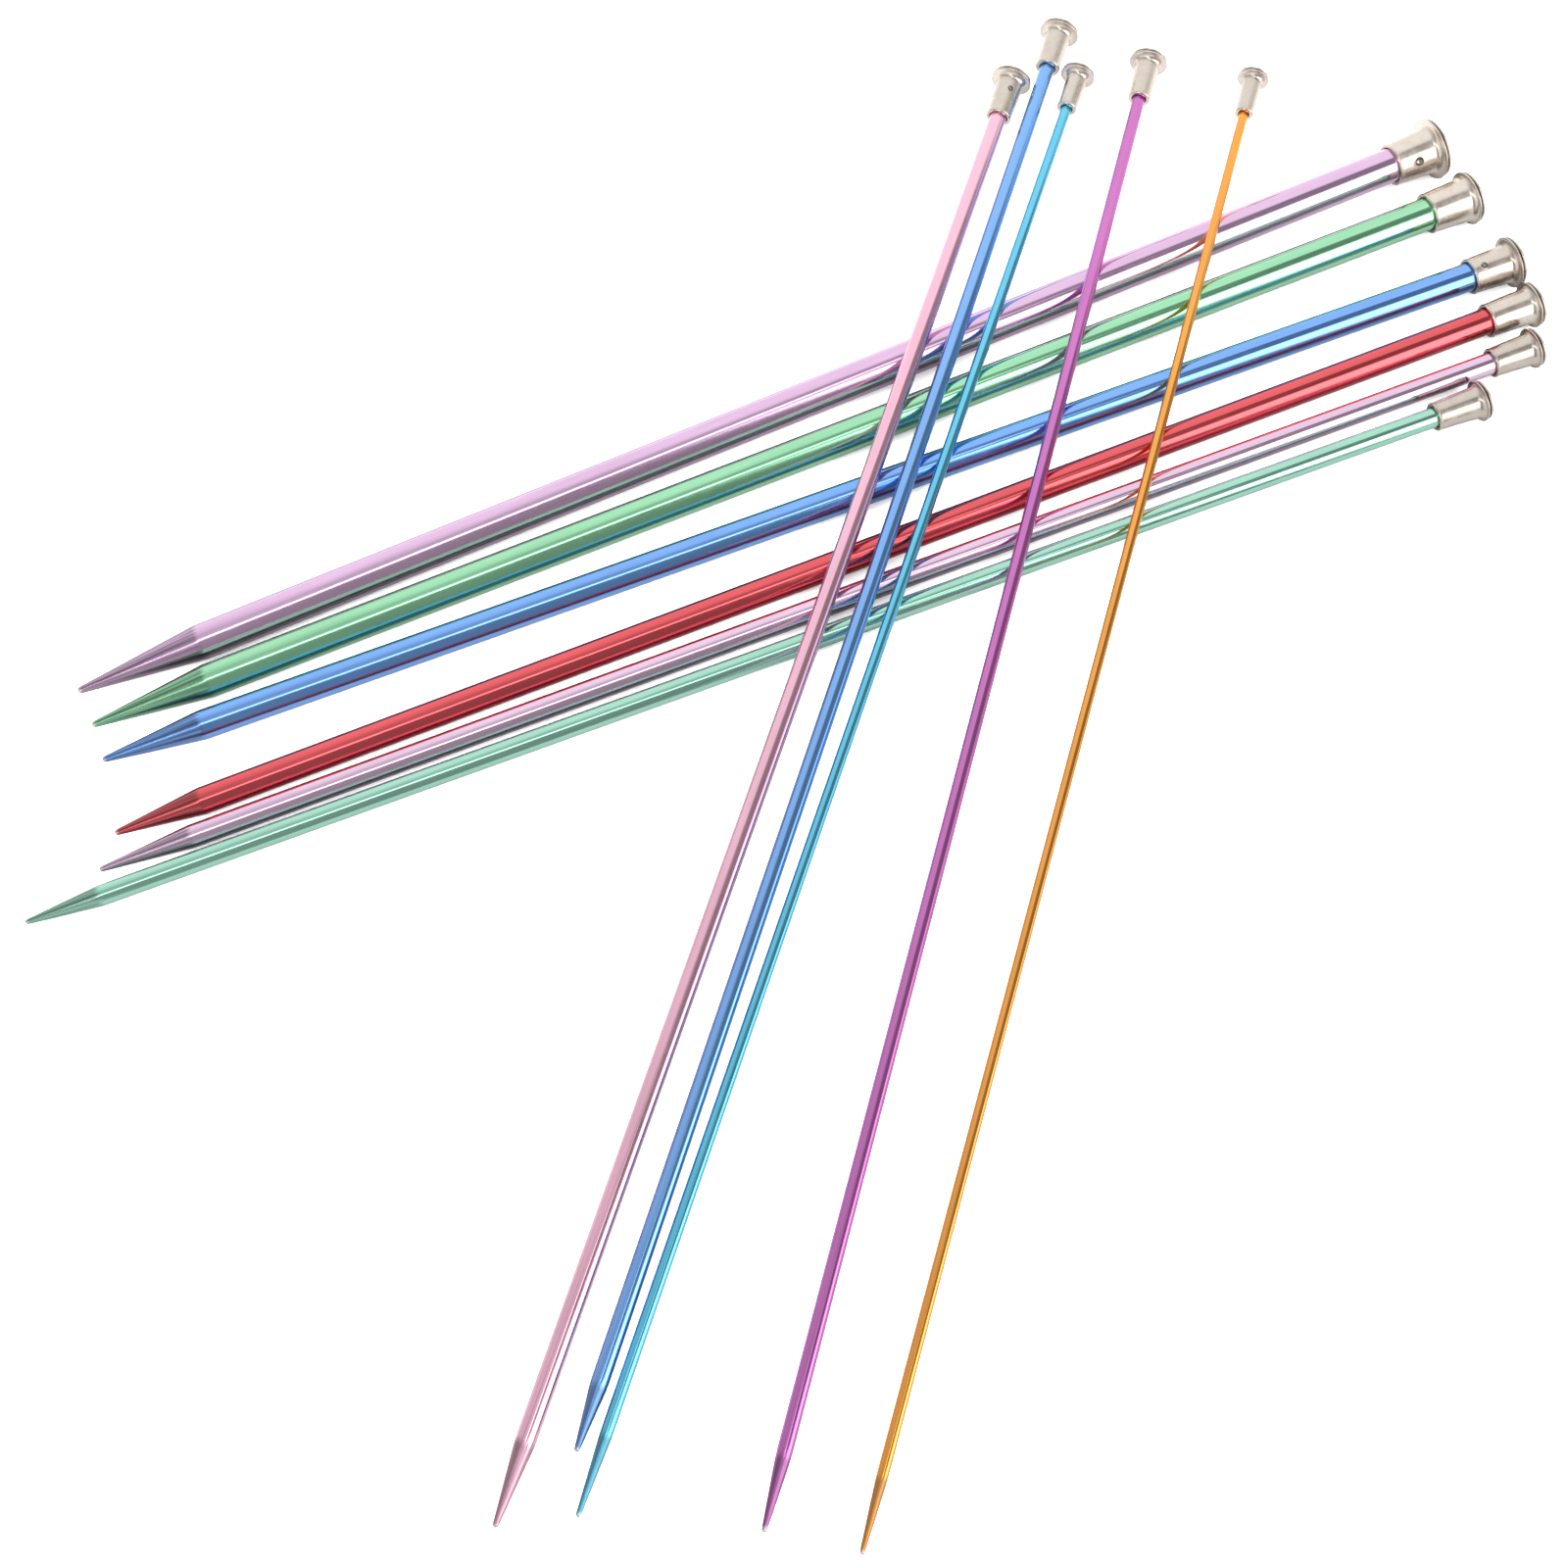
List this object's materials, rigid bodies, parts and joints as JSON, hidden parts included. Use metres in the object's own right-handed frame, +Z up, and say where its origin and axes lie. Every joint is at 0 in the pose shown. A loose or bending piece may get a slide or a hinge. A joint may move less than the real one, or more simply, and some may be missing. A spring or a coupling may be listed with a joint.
{
  "type": "set of single-pointed knitting needles",
  "caption": "Set of straight single-pointed anodised aluminium knitting needles in graded thicknesses, each with a flanged metal cap, thin ones laid across thick ones.",
  "frame": {"origin": "on the table, under the middle of the set's bounding box", "axes": "+X along the thick needles' row, from their points towards their caps; +Z up from the table; the picture looks along +Y and down"},
  "size_m": [0.3418, 0.321, 0.0203],
  "materials": {
    "anodised_lilac_80": "bright anodised, drawn along its length",
    "anodised_green_75": "bright anodised, drawn along its length",
    "anodised_blue_65": "bright anodised, drawn along its length",
    "anodised_red_60": "bright anodised, drawn along its length",
    "anodised_lilac_50": "bright anodised, drawn along its length",
    "anodised_mint_45": "bright anodised, drawn along its length",
    "anodised_pink_40": "bright anodised, drawn along its length",
    "anodised_blue_35": "bright anodised, drawn along its length",
    "anodised_cyan_25": "bright anodised, drawn along its length",
    "anodised_purple_30": "bright anodised, drawn along its length",
    "anodised_gold_22": "bright anodised, drawn along its length",
    "nickel": "bright nickel plate, slightly warm"
  },
  "bodies": {
    "needle_lilac_80": {"shaft_lilac_80": "anodised_lilac_80", "ferrule_lilac_80": "nickel", "end_disc_lilac_80": "nickel"},
    "needle_green_75": {"shaft_green_75": "anodised_green_75", "ferrule_green_75": "nickel", "end_disc_green_75": "nickel"},
    "needle_blue_65": {"shaft_blue_65": "anodised_blue_65", "ferrule_blue_65": "nickel", "end_disc_blue_65": "nickel"},
    "needle_red_60": {"shaft_red_60": "anodised_red_60", "ferrule_red_60": "nickel", "end_disc_red_60": "nickel"},
    "needle_lilac_50": {"shaft_lilac_50": "anodised_lilac_50", "ferrule_lilac_50": "nickel", "end_disc_lilac_50": "nickel"},
    "needle_mint_45": {"shaft_mint_45": "anodised_mint_45", "ferrule_mint_45": "nickel", "end_disc_mint_45": "nickel"},
    "needle_pink_40": {"shaft_pink_40": "anodised_pink_40", "ferrule_pink_40": "nickel", "end_disc_pink_40": "nickel"},
    "needle_blue_35": {"shaft_blue_35": "anodised_blue_35", "ferrule_blue_35": "nickel", "end_disc_blue_35": "nickel"},
    "needle_cyan_25": {"shaft_cyan_25": "anodised_cyan_25", "ferrule_cyan_25": "nickel", "end_disc_cyan_25": "nickel"},
    "needle_purple_30": {"shaft_purple_30": "anodised_purple_30", "ferrule_purple_30": "nickel", "end_disc_purple_30": "nickel"},
    "needle_gold_22": {"shaft_gold_22": "anodised_gold_22", "ferrule_gold_22": "nickel", "end_disc_gold_22": "nickel"}
  },
  "joints": [
    {"name": "draw_green_75", "type": "slide", "parent": "needle_lilac_80", "child": "needle_green_75", "axis": [0.972, 0.2348, 0], "range_m": [0, 0.345]},
    {"name": "draw_blue_65", "type": "slide", "parent": "needle_lilac_80", "child": "needle_blue_65", "axis": [0.9746, 0.2238, 0], "range_m": [0, 0.345]},
    {"name": "draw_red_60", "type": "slide", "parent": "needle_lilac_80", "child": "needle_red_60", "axis": [0.9755, 0.2202, 0], "range_m": [0, 0.345]},
    {"name": "draw_lilac_50", "type": "slide", "parent": "needle_lilac_80", "child": "needle_lilac_50", "axis": [0.9777, 0.2101, 0], "range_m": [0, 0.345]},
    {"name": "draw_mint_45", "type": "slide", "parent": "needle_lilac_80", "child": "needle_mint_45", "axis": [0.9958, 0.0912, 0], "range_m": [0, 0.345]},
    {"name": "lift_pink_40", "type": "slide", "parent": "needle_lilac_80", "child": "needle_pink_40", "axis": [0, 0, 1], "range_m": [0, 0.06]},
    {"name": "lift_blue_35", "type": "slide", "parent": "needle_lilac_80", "child": "needle_blue_35", "axis": [0, 0, 1], "range_m": [0, 0.06]},
    {"name": "lift_cyan_25", "type": "slide", "parent": "needle_lilac_80", "child": "needle_cyan_25", "axis": [0, 0, 1], "range_m": [0, 0.06]},
    {"name": "lift_purple_30", "type": "slide", "parent": "needle_lilac_80", "child": "needle_purple_30", "axis": [0, 0, 1], "range_m": [0, 0.06]},
    {"name": "lift_gold_22", "type": "slide", "parent": "needle_lilac_80", "child": "needle_gold_22", "axis": [0, 0, 1], "range_m": [0, 0.06]}
  ]
}
